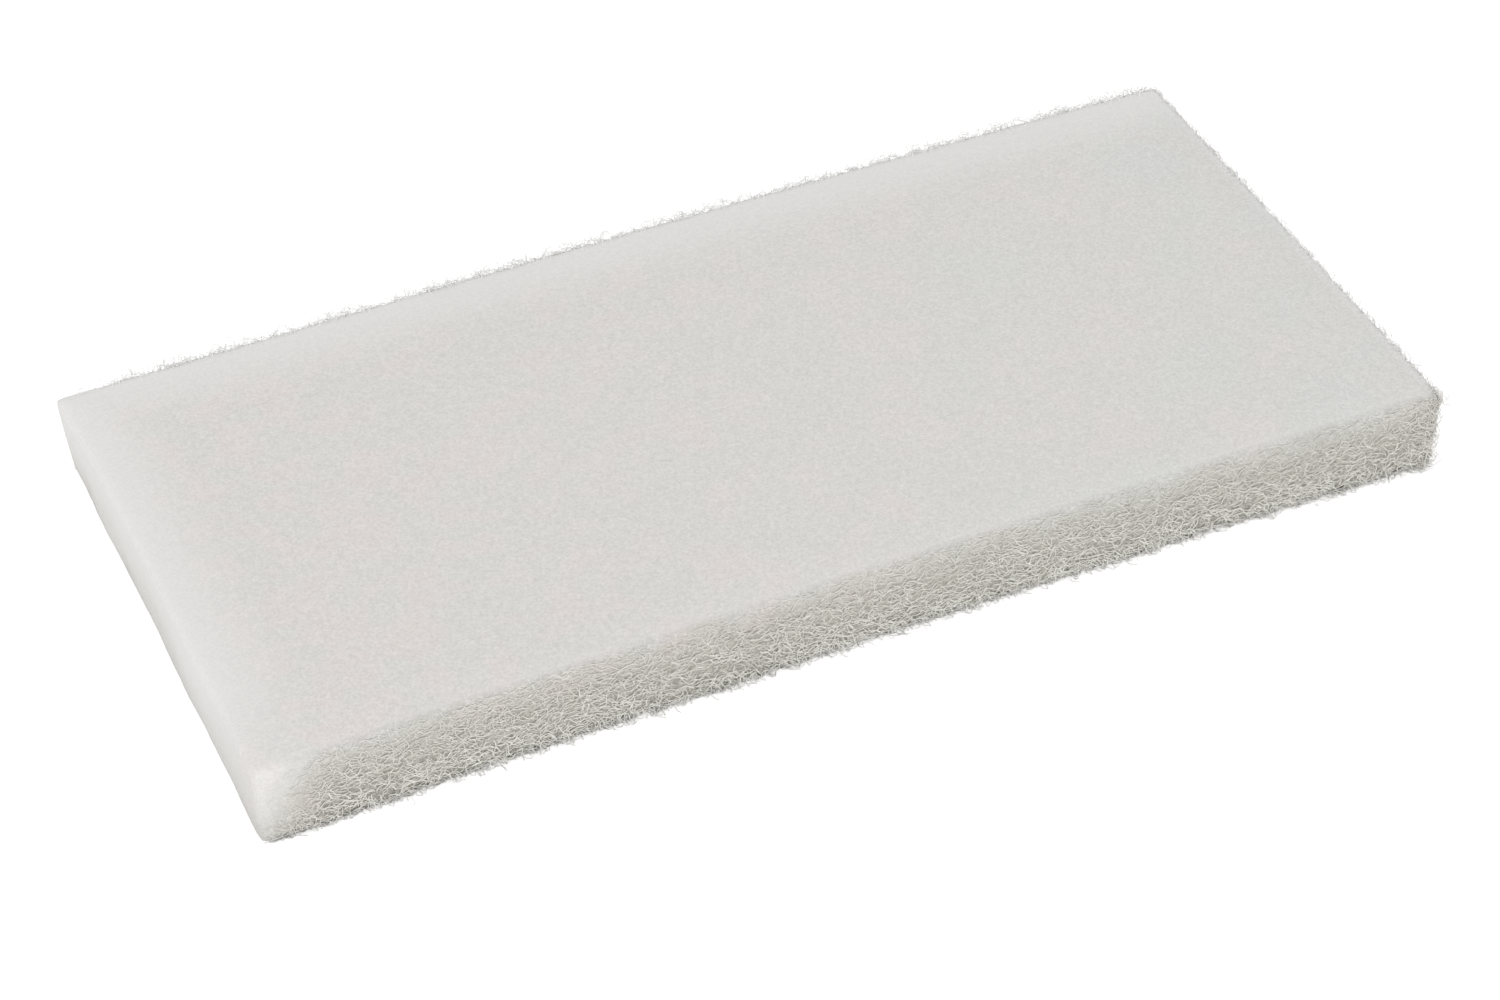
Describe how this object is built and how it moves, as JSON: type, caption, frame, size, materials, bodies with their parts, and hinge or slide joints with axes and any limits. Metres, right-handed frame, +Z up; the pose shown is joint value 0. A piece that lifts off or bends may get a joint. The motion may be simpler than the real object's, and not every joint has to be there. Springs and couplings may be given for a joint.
{
  "type": "nylon scouring pad",
  "caption": "White rectangular scouring pad of lofty non-woven nylon web, with flat faces, slightly rounded edges and rough die-cut sides, for wiping and scrubbing by hand or on a holder.",
  "frame": {"origin": "centre of the flat underside, on the surface that the pad rests on", "axes": "+X along the pad's length, +Y across its width, +Z up out of the top face"},
  "size_m": [0.2502, 0.1202, 0.0185],
  "materials": {
    "nylon_web": "matte open web of crimped nylon fibre, off-white, denser and smoother on the faces than on the cut sides"
  },
  "bodies": {
    "root": {"pad": "nylon_web"}
  },
  "joints": []
}
